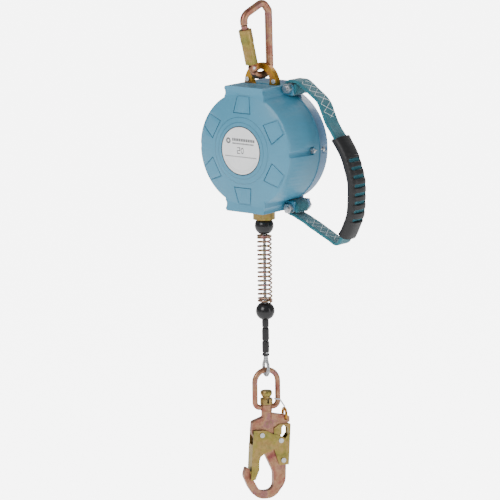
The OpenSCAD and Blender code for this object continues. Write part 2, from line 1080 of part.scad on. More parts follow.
module swivel_stud() {
    color([0.62, 0.56, 0.38])
        in_hook()
            difference() {
                union() {
                    rod_z(4.5, -10, 12);
                    rod_z(9, 10.1, 18.3);
                    rod_z(5.6, 18.3, 21.4);
                    translate([0, 0, 21.4])
                        cylinder(r1 = 6.6, r2 = 8.5, h = 3.4);
                    rod_z(8.5, 24.8, 28.4);
                    translate([0, 0, 28.4])
                        cylinder(r1 = 8.5, r2 = 7.4, h = 1.6);
                }
                for (a = [0, 90])
                    rotate([0, 0, a])
                        translate([-20, -1.3, 12])
                            cube([40, 2.6, 6.6]);
            }
}

// The arched ring through the hook's shoulder that takes a tag line.
module tag_ring() {
    color([0.85, 0.66, 0.20])
        in_hook()
            translate([27.5, 0, -13])
                rotate([0, 0, 90])
                    bent_bar(
                        [[0, 0], [8.2, 0], [8.2, 14.6], [-8.2, 14.6], [-8.2, 0], [0, 0]],
                        [0, 4, 8, 8, 4, 0],
                        4,
                        closed = true
                    );
}

module gate_rivets() {
    color([0.82, 0.82, 0.85])
        in_hook() {
            rod_y(gate_rivet.x, gate_rivet.y, 2.5, -9.8, 9.8);
            rod_y(lever_rivet.x, lever_rivet.y, 2.5, -9.8, 9.8);
            for (side = [-1, 1]) {
                rod_y(gate_rivet.x, gate_rivet.y, 3.6, side * 10.5 - 0.7, side * 10.5 + 0.7);
                rod_y(lever_rivet.x, lever_rivet.y, 3.6, side * 8.9 - 0.7, side * 8.9 + 0.7);
            }
        }
}

gate_layer = 8;
lever_layer = 5.8;

module hook_gate() {
    side_plate = [
        [-22.6, -26.8], [-8.4, -27.1], [-2.6, -28.3], [6, -33.4], [18.3, -37.6], [23.4, -40], [24.9, -44],
        [23.8, -48.5], [8.4, -56.4], [1.4, -59.8], [-6.2, -61.5], [-12.7, -66.6], [-14.7, -73.3], [-15, -86],
        [-21, -100], [-28.2, -100.7], [-26.6, -84], [-24.4, -50]
    ];
    web = [
        [-24.6, -48], [-22.8, -48], [-25, -88], [-26.9, -88]
    ];
    color([0.74, 0.70, 0.42])
        in_hook()
            difference() {
                union() {
                    for (side = [-1, 1])
                        hook_layer(
                            side > 0 ? gate_layer : -gate_layer - sheet_t,
                            side > 0 ? gate_layer + sheet_t : -gate_layer,
                            side_plate
                        );
                    hook_layer(-gate_layer - sheet_t, gate_layer + sheet_t, web);
                }
                rod_y(gate_rivet.x, gate_rivet.y, 2.5 + fit, -20, 20);
                rod_y(tail_pin.x, tail_pin.y, 2.5, -20, 20);
            }
}

module gate_tail_pin() {
    color([0.82, 0.82, 0.85])
        in_hook() {
            rod_y(tail_pin.x, tail_pin.y, 2.5, -gate_layer - sheet_t, gate_layer + sheet_t);
            for (side = [-1, 1])
                rod_y(tail_pin.x, tail_pin.y, 3.8, side * 10.5 - 0.7, side * 10.5 + 0.7);
        }
}

module lock_lever() {
    side_plate = [
        [9, -25.5], [17.3, -20.2], [33.6, -20.2], [34.4, -22], [31, -81.4], [18.3, -81.4], [16, -80],
        [9, -57.6]
    ];
    web = [[32.4, -21.5], [34.2, -21.5], [31, -81.4], [29.2, -81.4]];
    slot = [
        [15.4, -46], [18.7, -48.2], [22.2, -46.8], [30.8, -36], [31, -29], [28, -23.5], [23, -22.5],
        [20.6, -25.5], [20.6, -34], [15.4, -41.6]
    ];
    color([0.80, 0.64, 0.36])
        in_hook()
            difference() {
                union() {
                    for (side = [-1, 1])
                        hook_layer(
                            side > 0 ? lever_layer : -lever_layer - sheet_t,
                            side > 0 ? lever_layer + sheet_t : -lever_layer,
                            side_plate
                        );
                    hook_layer(-lever_layer - sheet_t, lever_layer + sheet_t, web);
                }
                hook_layer(-20, 20, slot);
                rod_y(lever_rivet.x, lever_rivet.y, 2.5 + fit, -20, 20);
            }
}

// ---- Handle ----

// The middle of the grip, top to bottom, in x and z.
grip_path = rounded_path(
    [[124, 19], [139, -2], [152, -40], [150, -88], [138, -113], [134, -119]],
    [0, 60, 60, 60, 40, 0], 5
);

// The webbing's way between its two bolt loops, through the grip.
strap_path = rounded_path(
    [
        [bolt_x, bolt_z + strap_loop_r + web_t / 2], [56, bolt_z + strap_loop_r + web_t / 2], [94, 71],
        [108, 40], [124, 19], [139, -2], [152, -40], [150, -88], [138, -113], [125, -134],
        [62, -104], [bolt_x, -bolt_z - strap_loop_r - web_t / 2]
    ],
    [0, 14, 30, 40, 60, 60, 60, 60, 40, 8, 20, 0], 5
);

module strap_end(z) {
    difference() {
        rod_y(bolt_x, z, strap_loop_r + web_t, strap_y - web_w / 2, strap_y + web_w / 2);
        rod_y(bolt_x, z, strap_loop_r, -60, 60);
    }
}

module handle_strap() {
    color([0.24, 0.60, 0.66])
        in_case()
            difference() {
                union() {
                    plate(strap_y - web_w / 2, strap_y + web_w / 2)
                        band(strap_path, web_t);
                    strap_end(bolt_z);
                    strap_end(-bolt_z);
                }
                for (z = [-bolt_z, bolt_z])
                    rod_y(bolt_x, z, strap_loop_r, -60, 60);
            }
}

module handle_grip() {
    slots = 8;
    color([0.10, 0.10, 0.11])
        in_case()
            difference() {
                plate(strap_y - grip_w / 2, strap_y + grip_w / 2)
                    band(grip_path, 17);
                plate(strap_y - web_w / 2, strap_y + web_w / 2)
                    band(strap_path, web_t);
                for (i = [0 : slots - 1])
                    let (at = grip_path[round(3 + i * (len(grip_path) - 7) / (slots - 1))])
                        translate([at.x + 1, strap_y - 10, at.y - 3])
                            cube([20, 20, 6]);
            }
}

carabiner_frame();
carabiner_gate_pin();
carabiner_gate();
lock_sleeve();
front_frame_plate();
rear_frame_plate();
bracket_rivets();
front_cover();
rear_cover();
case_seal();
label_rim();
label_disc();
case_bolts();
case_nuts();
side_screws();
bolt_sleeves();
frame_spacers();
frame_screws();
main_axle();
axle_nut();
power_spring_case();
power_spring();
line_nozzle();
nozzle_bush();
cable_lead();
handle_strap();
handle_grip();
friction_discs();
pressure_plate();
disc_spring();
brake_nut();
ratchet_ring();
cable_drum();
wound_cable();
drum_bushes();
spring_arbor();
pawl_pins();
pawl_springs();
pawl_a();
pawl_b();
lifeline_cable();
upper_ball();
bumper_spring();
lower_ball();
cable_eye();
stop_sleeve();
ferrule_sleeve();
tail_sleeve();
thimble();
swivel_bail();
bail_wire();
hook_frame();
swivel_stud();
tag_ring();
gate_rivets();
hook_gate();
gate_tail_pin();
lock_lever();
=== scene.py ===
import json
import math

import bmesh
import bpy
import numpy as np
from mathutils import Matrix, Vector


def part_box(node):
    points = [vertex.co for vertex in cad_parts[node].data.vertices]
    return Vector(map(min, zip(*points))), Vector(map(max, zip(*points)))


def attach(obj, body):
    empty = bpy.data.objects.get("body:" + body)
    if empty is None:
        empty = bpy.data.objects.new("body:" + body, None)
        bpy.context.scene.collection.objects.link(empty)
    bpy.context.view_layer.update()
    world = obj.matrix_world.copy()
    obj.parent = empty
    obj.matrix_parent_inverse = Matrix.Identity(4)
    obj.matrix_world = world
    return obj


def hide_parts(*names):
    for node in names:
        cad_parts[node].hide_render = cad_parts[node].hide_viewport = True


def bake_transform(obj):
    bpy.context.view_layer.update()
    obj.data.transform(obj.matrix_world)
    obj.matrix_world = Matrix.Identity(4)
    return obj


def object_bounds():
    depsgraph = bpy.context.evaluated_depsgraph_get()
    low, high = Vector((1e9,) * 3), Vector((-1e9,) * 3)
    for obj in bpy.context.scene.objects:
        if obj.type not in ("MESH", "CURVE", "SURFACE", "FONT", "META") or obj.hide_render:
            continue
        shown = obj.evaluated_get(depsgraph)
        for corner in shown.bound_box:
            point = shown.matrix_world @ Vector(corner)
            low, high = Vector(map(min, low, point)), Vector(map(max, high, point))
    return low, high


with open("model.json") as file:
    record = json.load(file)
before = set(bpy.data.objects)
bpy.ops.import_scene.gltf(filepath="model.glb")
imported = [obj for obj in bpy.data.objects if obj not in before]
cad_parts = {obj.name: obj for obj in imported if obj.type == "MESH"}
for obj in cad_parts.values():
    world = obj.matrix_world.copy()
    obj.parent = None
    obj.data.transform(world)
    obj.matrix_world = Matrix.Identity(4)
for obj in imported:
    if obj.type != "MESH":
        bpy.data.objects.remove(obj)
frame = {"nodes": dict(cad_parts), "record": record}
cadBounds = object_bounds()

mm = 0.001


def middle(node):
    # halfway between the lowest and highest corners of a frame part
    low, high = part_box(node)
    return (np.array(low) + np.array(high)) / 2


caseCentre = np.array([0.0, 0.0, middle("main_axle")[2]])


class Wire:
    # wraps a socket so that shader maths reads as plain Python
    def __init__(self, finish, socket):
        self.finish = finish
        self.socket = socket

    def maths(self, operation, *values):
        return self.finish.node("ShaderNodeMath", {"operation": operation}, dict(enumerate(values)))

    def __add__(self, other):
        return self.maths("ADD", self, other)

    def __radd__(self, other):
        return self.maths("ADD", other, self)

    def __sub__(self, other):
        return self.maths("SUBTRACT", self, other)

    def __rsub__(self, other):
        return self.maths("SUBTRACT", other, self)

    def __mul__(self, other):
        return self.maths("MULTIPLY", self, other)

    def __rmul__(self, other):
        return self.maths("MULTIPLY", other, self)

    def __truediv__(self, other):
        return self.maths("DIVIDE", self, other)

    def __pow__(self, other):
        return self.maths("POWER", self, other)

    def __lt__(self, other):
        return self.maths("LESS_THAN", self, other)

    def __abs__(self):
        return self.maths("ABSOLUTE", self)

    def largest(self, other):
        return self.maths("MAXIMUM", self, other)

    def smallest(self, other):
        return self.maths("MINIMUM", self, other)

    def angleTo(self, other):
        return self.maths("ARCTAN2", self, other)

    def sine(self):
        return self.maths("SINE", self)

    def cosine(self):
        return self.maths("COSINE", self)

    def rounded(self):
        return self.maths("ROUND", self)

    def fraction(self):
        return self.maths("FRACT", self)

    def eased(self, start, end):
        # 0 before start and 1 after end, with a smooth step between; start above end turns it round
        return self.finish.node(
            "ShaderNodeMapRange", {"interpolation_type": "SMOOTHSTEP"},
            {"Value": self, "From Min": start, "From Max": end, "To Min": 0.0, "To Max": 1.0}, "Result")


class Finish:
    # one material; node() adds any node, sets its settings, then its sockets
    def __init__(self, name):
        self.material = bpy.data.materials.new(name)
        self.material.use_nodes = True
        self.tree = self.material.node_tree
        self.shader = self.tree.nodes["Principled BSDF"]

    def node(self, kind, settings=None, sockets=None, output=0):
        made = self.tree.nodes.new(kind)
        for key, value in (settings or {}).items():
            if key == "stops":
                ramp = made.color_ramp
                while len(ramp.elements) < len(value):
                    ramp.elements.new(0.5)
                for element, (place, colour) in zip(ramp.elements, value):
                    element.position = place
                    element.color = (*colour, 1)
            else:
                setattr(made, key, value)
        for key, value in (sockets or {}).items():
            self.feed(made.inputs[key], value)
        return Wire(self, made.outputs[output])

    def feed(self, socket, value):
        if isinstance(value, Wire):
            self.tree.links.new(value.socket, socket)
        elif isinstance(value, (tuple, list)) and len(value) == 3 and socket.type == "RGBA":
            socket.default_value = (*value, 1)
        else:
            socket.default_value = value

    def place(self):
        return self.node("ShaderNodeTexCoord", output="Object")

    def uv(self):
        return self.node("ShaderNodeTexCoord", output="UV")

    def split(self, vector):
        made = self.tree.nodes.new("ShaderNodeSeparateXYZ")
        self.feed(made.inputs[0], vector)
        return [Wire(self, out) for out in made.outputs]

    def noise(self, scale, detail=3.0, vector=None, rough=0.5):
        sockets = {"Vector": vector or self.place(), "Scale": scale, "Detail": detail, "Roughness": rough}
        return self.node("ShaderNodeTexNoise", {}, sockets, "Fac")

    def ramp(self, value, stops):
        return self.node("ShaderNodeValToRGB", {"stops": stops}, {0: value}, "Color")

    def mix(self, factor, first, second, blend="MIX"):
        return self.node("ShaderNodeMix", {"data_type": "RGBA", "blend_type": blend},
                         {0: factor, 6: first, 7: second}, 2)

    def bump(self, height, depth, strength=1.0, under=None):
        sockets = {"Height": height, "Distance": depth, "Strength": strength}
        if under:
            sockets["Normal"] = under
        return self.node("ShaderNodeBump", {}, sockets, "Normal")

    def surface(self, **sockets):
        for key, value in sockets.items():
            self.feed(self.shader.inputs[key.replace("_", " ").strip()], value)
        return self.material


def zincPlate(name, stops, rough=0.3, cloud=45.0):
    # chromate over zinc: colour drifts in soft clouds, with brighter worn flecks and fine scratches
    look = Finish(name)
    place = look.place()
    drift = look.noise(cloud, 4.0, place, 0.6)
    colour = look.ramp(drift, stops)
    flecks = look.noise(900.0, 2.0, place).eased(0.62, 0.75)
    colour = look.mix(flecks * 0.25, colour, (0.70, 0.64, 0.50))
    grime = look.noise(160.0, 5.0, place, 0.7).eased(0.35, 0.6)
    colour = look.mix(grime * 0.3, look.mix(1.0, colour, (0.55, 0.5, 0.45), "MULTIPLY"), colour)
    scratch = look.noise(1400.0, 3.0, place)
    return look.surface(
        Base_Color=colour, Metallic=1.0, Roughness=rough + 0.22 * look.noise(300.0, 3.0, place),
        Normal=look.bump(scratch, 0.00006, 0.35))


def brightSteel(name, tint=(0.60, 0.61, 0.63), rough=0.22):
    # plated fastener steel with small dull patches over a fine grain
    look = Finish(name)
    place = look.place()
    dull = look.noise(350.0, 4.0, place)
    base = look.mix(dull.eased(0.35, 0.7) * 0.5, tint, tuple(c * 0.62 for c in tint))
    return look.surface(
        Base_Color=base, Metallic=1.0, Roughness=rough + 0.25 * dull,
        Normal=look.bump(look.noise(2200.0, 2.0, place), 0.00004, 0.4))


def mouldedCase(name, colour):
    # satin moulded plastic with a spark-eroded grain and slight flow shading. Six pads lie round the face:
    # the angle is folded into one sixth of a turn, and reach and side measure along and across that sector
    look = Finish(name)
    across, depth, up = look.split(look.place())
    up = up - float(caseCentre[2])
    radius = (across * across + up * up) ** 0.5
    angle = across.angleTo(up)
    sector = angle - (angle / (math.pi / 3)).rounded() * (math.pi / 3)
    reach = radius * sector.cosine()
    side = radius * sector.sine()
    halfWidth = 15.5 * mm - (reach - 54 * mm) * 0.18
    edge = (abs(side) - halfWidth).largest(abs(reach - 66.5 * mm) - 12.5 * mm)
    onFace = depth.eased(-42 * mm, -43.5 * mm) + depth.eased(49.5 * mm, 51 * mm)
    groove = abs(edge).eased(1.0 * mm, 0.15 * mm) * onFace
    sunk = edge.eased(0.5 * mm, -0.7 * mm) * onFace
    step = (radius.eased(41.4 * mm, 40.4 * mm) + radius.eased(49.0 * mm, 47.6 * mm)) * onFace
    innerRingShade = abs(radius - 41 * mm).eased(0.9 * mm, 0.1 * mm)
    outerRingShade = abs(radius - 48.3 * mm).eased(1.1 * mm, 0.1 * mm)
    rings = (innerRingShade + outerRingShade) * onFace
    grain = look.noise(1500.0, 4.0)
    flow = look.noise(14.0, 3.0)
    base = look.mix(flow.eased(0.3, 0.7), colour, tuple(min(1.0, c * 1.10) for c in colour))
    # painted shade: the pad grooves and the two ring steps round the label are darkened in the colour,
    # towards 0.4 of the case blue
    base = look.mix((groove * 0.22 + rings * 0.25).smallest(1.0), base, tuple(c * 0.4 for c in colour))
    scuff = look.noise(240.0, 6.0, None, 0.75).eased(0.64, 0.72)
    base = look.mix(scuff * 0.16, base, (0.62, 0.74, 0.80))
    relief = look.bump(sunk * -0.35 - groove * 0.65 + step, 0.9 * mm, 0.9)
    return look.surface(
        Base_Color=base, Roughness=0.36 + 0.16 * grain, Coat_Weight=0.12,
        Normal=look.bump(grain, 0.00007, 0.45, relief))


def labelFilm(name):
    # white film with a plain ring mark, bars in place of words and a length figure of bars and an oval
    look = Finish(name)
    across, depth, up = look.split(look.place())
    up = up - float(caseCentre[2])

    def bar(x0, x1, z0, z1):
        soft = 0.12
        inX = across.eased((x0 - soft) * mm, x0 * mm) * across.eased((x1 + soft) * mm, x1 * mm)
        return inX * up.eased((z0 - soft) * mm, z0 * mm) * up.eased((z1 + soft) * mm, z1 * mm)

    radius = (across * across + up * up) ** 0.5
    dx, dz = across + 22.5 * mm, up - 13.4 * mm
    spot = (dx * dx + dz * dz) ** 0.5
    mark = spot.eased(4.4 * mm, 4.2 * mm) * spot.eased(1.6 * mm, 1.9 * mm)
    words = (bar(-15.5, 26, 13.6, 17.6) * ((across * 310.0).fraction() < 0.80)
             + bar(-15.5, 24, 9.2, 11.2) * ((across * 420.0).fraction() < 0.78))
    small = bar(-29, 29, -9.4, -8.0) * ((across * 520.0).fraction() < 0.72)
    arcs = sum((radius.eased((r - 0.3) * mm, r * mm) * radius.eased((r + 0.5) * mm, (r + 0.2) * mm)
                for r in (31.0, 29.0)), 0.0) * (up < -14 * mm)
    two = (bar(-6.6, -1.0, 3.7, 4.9) + bar(-2.2, -1.0, 0.2, 4.9) + bar(-6.6, -1.0, -0.4, 0.8)
           + bar(-6.6, -5.4, -4.5, 0.8) + bar(-6.6, -1.0, -4.5, -3.3))
    ringX, ringZ = (across - 3.0 * mm) / 2.6, (up - 0.2 * mm) / 4.5
    nought = abs((ringX * ringX + ringZ * ringZ) ** 0.5 - 0.84 * mm).eased(0.22 * mm, 0.16 * mm)
    ink = (mark + words + small + two + nought + arcs * 0.35).smallest(1.0)
    paper = look.mix(look.noise(60.0, 3.0).eased(0.3, 0.7), (0.83, 0.84, 0.85), (0.90, 0.90, 0.90))
    return look.surface(
        Base_Color=look.mix(ink * 0.9, paper, (0.03, 0.03, 0.035)), Roughness=0.32, Coat_Weight=0.3,
        Normal=look.bump(look.noise(700.0), 0.00003, 0.3))


def plainMoulding(name, colour, rough=0.38, grain=900.0):
    # moulded rubber, plastic or thread: fine grain with a trace of dust
    look = Finish(name)
    fine = look.noise(grain, 4.0)
    dust = look.noise(180.0, 6.0, None, 0.75).eased(0.6, 0.75)
    return look.surface(
        Base_Color=look.mix(dust * 0.10, colour, (0.04, 0.04, 0.044)),
        Roughness=rough + 0.2 * fine, Normal=look.bump(fine, 0.0001, 0.5))


def tealWebbing(name):
    # herringbone polyester webbing; u runs across the strap and v along it, both in metres
    look = Finish(name)
    u, v = look.split(look.uv())[:2]
    chevron = abs((u / (4.6 * mm)).fraction() - 0.5) * 4.6 * mm
    rib = ((v + chevron) * (2 * math.pi / (1.5 * mm))).sine() * 0.5 + 0.5
    yarn = (u * (2 * math.pi / (0.95 * mm))).sine() * 0.5 + 0.5
    weave = rib * 0.7 + yarn * 0.3
    mottled = look.noise(120.0, 4.0)
    base = look.mix(weave, (0.004, 0.070, 0.100), (0.018, 0.200, 0.250))
    base = look.mix(mottled.eased(0.35, 0.7) * 0.3, base, (0.024, 0.235, 0.290))
    return look.surface(
        Base_Color=base, Roughness=0.72, Sheen_Weight=0.35, Sheen_Roughness=0.4,
        Normal=look.bump(weave, 0.35 * mm, 0.8))


def ropeStrand(name):
    # galvanised wires lie aslant in each strand: a sine of the sum of u, round the rope, and v, along it
    look = Finish(name)
    u, v = look.split(look.uv())[:2]
    wires = ((u * 6 + v * 260) * (2 * math.pi)).sine() * 0.5 + 0.5
    return look.surface(
        Base_Color=look.mix(wires, (0.22, 0.23, 0.24), (0.72, 0.74, 0.75)), Metallic=0.9,
        Roughness=0.34 + 0.2 * look.noise(400.0), Normal=look.bump(wires, 0.25 * mm, 0.8))


# colour stops of each plating, from the cloud's low to its high end
roseStops = [(0.30, (0.36, 0.12, 0.12)), (0.42, (0.52, 0.24, 0.17)), (0.52, (0.60, 0.36, 0.22)),
             (0.62, (0.44, 0.20, 0.21)), (0.74, (0.36, 0.33, 0.15))]
yellowStops = [(0.30, (0.27, 0.29, 0.09)), (0.45, (0.46, 0.39, 0.11)), (0.56, (0.54, 0.38, 0.15)),
               (0.72, (0.34, 0.37, 0.14))]
goldStops = [(0.30, (0.52, 0.26, 0.03)), (0.45, (0.70, 0.40, 0.05)), (0.56, (0.66, 0.28, 0.08)),
             (0.72, (0.52, 0.45, 0.10))]
springStops = [(0.35, (0.30, 0.27, 0.13)), (0.48, (0.52, 0.36, 0.24)), (0.62, (0.46, 0.24, 0.24))]
finishes = {
    "rose": zincPlate("rose_zinc", roseStops),
    "yellow": zincPlate("yellow_zinc", yellowStops),
    "gold": zincPlate("gold_zinc", goldStops, 0.24),
    "steel": brightSteel("bright_steel"),
    "machined": brightSteel("machined_steel", (0.56, 0.56, 0.58), 0.35),
    "springWire": zincPlate("spring_zinc", springStops, 0.2, 110.0),
    "darkSpring": brightSteel("oiled_spring_steel", (0.26, 0.27, 0.31), 0.3),
    "case": mouldedCase("blue_case", (0.060, 0.245, 0.375)),
    # painted shade: the rear cover gets a darker, more purple copy of the front case's blue, standing for
    # the shade on the back of the case
    "caseRearShaded": mouldedCase("rear_blue_case_shaded", (0.075, 0.185, 0.330)),
    "caseSeal": plainMoulding("blue_seal", (0.05, 0.20, 0.32), 0.5),
    "label": labelFilm("label_film"),
    "black": plainMoulding("black_plastic", (0.004, 0.004, 0.005), 0.16),
    "rubber": plainMoulding("black_rubber", (0.005, 0.005, 0.006), 0.36, 500.0),
    "webbing": tealWebbing("teal_webbing"),
    "strand": ropeStrand("galvanised_strand"),
    "thread": plainMoulding("pale_thread", (0.80, 0.88, 0.90), 0.6, 2500.0),
    "lining": plainMoulding("friction_lining", (0.12, 0.07, 0.04), 0.8, 700.0),
    "bronze": brightSteel("bronze", (0.62, 0.42, 0.18), 0.35),
    "ink": plainMoulding("label_ink", (0.02, 0.02, 0.024), 0.4, 2000.0),
}

print("finishes ready")


def addPiece(name, vertices, faces, body, finish, replaced, uv):
    # a mesh piece with its faces turned outwards, its finish, its body and the nodes it stands for
    mesh = bpy.data.meshes.new(name)
    mesh.from_pydata(vertices.tolist(), [], faces)
    if uv is not None:
        layer = mesh.uv_layers.new(name="cloth")
        corner = np.empty(len(mesh.loops), dtype=np.int32)
        mesh.loops.foreach_get("vertex_index", corner)
        layer.data.foreach_set("uv", uv.reshape(-1, 2)[corner].ravel())
    work = bmesh.new()
    work.from_mesh(mesh)
    bmesh.ops.recalc_face_normals(work, faces=work.faces)
    work.to_mesh(mesh)
    work.free()
    mesh.polygons.foreach_set("use_smooth", np.full(len(mesh.polygons), True))
    piece = bpy.data.objects.new(name, mesh)
    bpy.context.scene.collection.objects.link(piece)
    mesh.materials.append(finishes[finish])
    if body:  # a piece that bends across a joint rides on no single body
        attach(piece, body)
    if replaced:
        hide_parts(*replaced)
    return piece


def gridFaces(rows, columns, closeRows):
    # corner (i, j) has number i * columns + j; each face joins it to its neighbours round and along
    i = np.arange(rows if closeRows else rows - 1)[:, None]
    j = np.arange(columns)[None, :]
    below, beside = (i + 1) % rows, (j + 1) % columns
    corners = [i * columns + j, i * columns + beside, below * columns + beside, below * columns + j]
    return np.stack(corners, -1).reshape(-1, 4).tolist()


def gridPiece(name, points, body, finish, replaced=(), closeRows=False, uv=None):
    # rows of rings that close on themselves; the last row joins the first, or a fan closes each end
    rows, columns = points.shape[:2]
    faces = gridFaces(rows, columns, closeRows)
    vertices = points.reshape(-1, 3)
    if not closeRows:
        ends = [points[0].mean(0), points[-1].mean(0)]
        count = len(vertices)
        vertices = np.vstack([vertices, ends])
        for k in range(columns):
            after = (k + 1) % columns
            faces.append([count, after, k])
            faces.append([count + 1, (rows - 1) * columns + k, (rows - 1) * columns + after])
        if uv is not None:
            uv = np.vstack([uv.reshape(-1, 2), uv[0].mean(0), uv[-1].mean(0)])
    return addPiece(name, vertices, faces, body, finish, replaced, uv)


def turnedRings(profile, centre, sides=64):
    # radius and height carried round an upright: point = centre + (radius cos a, radius sin a, height);
    # angle a starts, and the seam lies, away from the front
    radius, height = np.array(profile, float).T[:, :, None, None] * mm
    a = np.linspace(0, 2 * np.pi, sides, endpoint=False) + math.radians(163.3)
    ring = np.stack([np.cos(a), np.sin(a), 0 * a], -1)
    return np.array(centre) + height * np.array([0, 0, 1.0]) + radius * ring[None]


def roundedPath(points, bends, step=6.0):
    # straight runs whose corners become arcs of the given radii
    points = [np.array(p, float) for p in points]
    out = []
    for i, p in enumerate(points):
        if i in (0, len(points) - 1) or bends[i] == 0:
            out.append(p)
            continue
        a = (p - points[i - 1]) / np.linalg.norm(p - points[i - 1])
        b = (points[i + 1] - p) / np.linalg.norm(points[i + 1] - p)
        turn = math.atan2(a[0] * b[1] - a[1] * b[0], a @ b)
        side = 1 if turn > 0 else -1
        start = p - a * bends[i] * math.tan(abs(turn) / 2)
        centre = start + np.array([-a[1], a[0]]) * side * bends[i]
        w = np.linspace(0, turn, max(3, int(abs(math.degrees(turn)) / step)))
        out.extend(centre - side * bends[i] * np.stack(
            [-a[1] * np.cos(w) - a[0] * np.sin(w), a[0] * np.cos(w) - a[1] * np.sin(w)], -1))
    return np.array(out)


def evenly(path, spacing):
    # the same line with its points a fixed distance apart
    lengths = np.concatenate([[0], np.cumsum(np.linalg.norm(np.diff(path, axis=0), axis=1))])
    s = np.linspace(0, lengths[-1], max(2, int(lengths[-1] / spacing) + 1))
    return np.stack([np.interp(s, lengths, path[:, k]) for k in range(path.shape[1])], -1), s


def frameOf(line):
    # unit directions along a flat line, by differences, and to its left side
    tangent = np.gradient(line, axis=0)
    tangent /= np.linalg.norm(tangent, axis=1)[:, None]
    return tangent, np.stack([-tangent[:, 1], tangent[:, 0]], -1)


def softened(node, finish, width, angle):
    # a copy of a frame part with its flat faces merged and a small rolled edge
    source = frame["nodes"][node]
    work = bmesh.new()
    work.from_mesh(source.data)
    bmesh.ops.remove_doubles(work, verts=work.verts, dist=1e-6)
    bmesh.ops.dissolve_limit(work, angle_limit=math.radians(0.6), verts=work.verts, edges=work.edges)
    mesh = bpy.data.meshes.new(node + "_finished")
    work.to_mesh(mesh)
    work.free()
    mesh.polygons.foreach_set("use_smooth", np.full(len(mesh.polygons), True))
    mesh.set_sharp_from_angle(angle=math.radians(angle))
    mesh.materials.append(finishes[finish])
    piece = bpy.data.objects.new(node + "_finished", mesh)
    bpy.context.scene.collection.objects.link(piece)
    bevel = piece.modifiers.new("rolled edge", "BEVEL")
    bevel.width = width * mm
    bevel.segments = 3
    bevel.limit_method = "ANGLE"
    bevel.angle_limit = math.radians(angle)
    bevel.harden_normals = True
    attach(piece, bodyOf[node])
    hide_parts(node)
    return piece


bodies = frame["record"]["behaviour"]["bodies"]
bodyOf = {node: body for body, nodes in bodies.items() for node in nodes}

# angles in degrees, lengths in metres; the long lens keeps uprights nearly parallel
view = {"azimuth": 39.08, "elevation": 10.48, "roll": -0.76, "distance": 6.0, "lens": 299.0,
        "aimHeight": -0.360, "aside": -0.0210, "above": 0.0042}


def placeCamera():
    # back points from the aim to the camera; level and upright are turned by the roll into right and up
    a, e, r = (math.radians(view[key]) for key in ("azimuth", "elevation", "roll"))
    back = Vector((math.sin(a) * math.cos(e), -math.cos(a) * math.cos(e), math.sin(e)))
    level = Vector((math.cos(a), math.sin(a), 0))
    upright = back.cross(level)
    right = level * math.cos(r) + upright * math.sin(r)
    up = upright * math.cos(r) - level * math.sin(r)
    aim = Vector((0, 0, view["aimHeight"])) + right * view["aside"] + up * view["above"]
    camera = bpy.data.objects.new("camera", bpy.data.cameras.new("camera"))
    camera.data.lens = view["lens"]
    camera.data.clip_end = 200
    camera.matrix_world = Matrix.Translation(aim + back * view["distance"]) @ Matrix(
        (right, up, back)).transposed().to_4x4()
    bpy.context.scene.collection.objects.link(camera)
    bpy.context.scene.camera = camera
    return level, back


cameraRight, cameraBack = placeCamera()

# lengths in metres, powers in watts; bands are brightness against height from straight down to overhead
studio = {
    "floorDrop": 0.22, "floorReach": 60.0, "floorGlow": 0.95, "floorSeen": 6.5, "aimHeight": -0.36,
    "key": 34.0, "fill": 8.0, "rim": 12.0, "sky": 0.66, "backdrop": 7.0,
    "bands": [(0.0, 0.75), (0.40, 0.55), (0.47, 0.10), (0.53, 0.12),
              (0.62, 0.85), (0.80, 0.55), (1.0, 1.3)],
}


def lamp(name, aside, towards, up, size, power):
    # a soft rectangle placed to the right of, in front of and above the object, and turned to face it
    light = bpy.data.lights.new(name, "AREA")
    light.shape = "RECTANGLE"
    light.size, light.size_y = size
    light.energy = power
    made = bpy.data.objects.new(name, light)
    flat = Vector((cameraBack.x, cameraBack.y, 0)).normalized()
    aim = Vector((0, 0, studio["aimHeight"]))
    made.location = aim + cameraRight * aside + flat * towards + Vector((0, 0, up))
    direction = aim - made.location
    made.rotation_euler = direction.to_track_quat("-Z", "Y").to_euler()
    bpy.context.scene.collection.objects.link(made)


lamp("key", -1.3, 1.6, 1.3, (1.2, 1.2), studio["key"])
lamp("fill", 1.9, 1.2, 0.3, (0.5, 1.8), studio["fill"])
lamp("rim", 0.9, -1.6, 1.2, (1.0, 0.6), studio["rim"])


def hangSky():
    # bright overhead and below with a dark band round the horizon, so that plated metal has contrast
    world = bpy.data.worlds.new("studio")
    world.use_nodes = True
    tree = world.node_tree
    sky = tree.nodes["Background"]
    place = tree.nodes.new("ShaderNodeTexCoord")
    split = tree.nodes.new("ShaderNodeSeparateXYZ")
    bands = tree.nodes.new("ShaderNodeValToRGB")
    seen = tree.nodes.new("ShaderNodeLightPath")
    backdrop = tree.nodes.new("ShaderNodeBackground")
    choose = tree.nodes.new("ShaderNodeMixShader")
    halved = tree.nodes.new("ShaderNodeMapRange")
    halved.inputs["From Min"].default_value = -1
    ramp = bands.color_ramp
    for height, level in studio["bands"]:
        element = ramp.elements.new(height)
        element.color = (level, level, level * 1.02, 1)
    ramp.elements.remove(ramp.elements[0])
    ramp.elements.remove(ramp.elements[len(ramp.elements) - 1])
    tree.links.new(place.outputs["Generated"], split.inputs[0])
    tree.links.new(split.outputs["Z"], halved.inputs["Value"])
    tree.links.new(halved.outputs["Result"], bands.inputs[0])
    tree.links.new(bands.outputs["Color"], sky.inputs["Color"])
    sky.inputs["Strength"].default_value = studio["sky"]
    backdrop.inputs["Color"].default_value = (1, 1, 1, 1)
    backdrop.inputs["Strength"].default_value = studio["backdrop"]
    tree.links.new(seen.outputs["Is Camera Ray"], choose.inputs[0])
    tree.links.new(sky.outputs[0], choose.inputs[1])
    tree.links.new(backdrop.outputs[0], choose.inputs[2])
    tree.links.new(choose.outputs[0], tree.nodes["World Output"].inputs["Surface"])
    bpy.context.scene.world = world


hangSky()


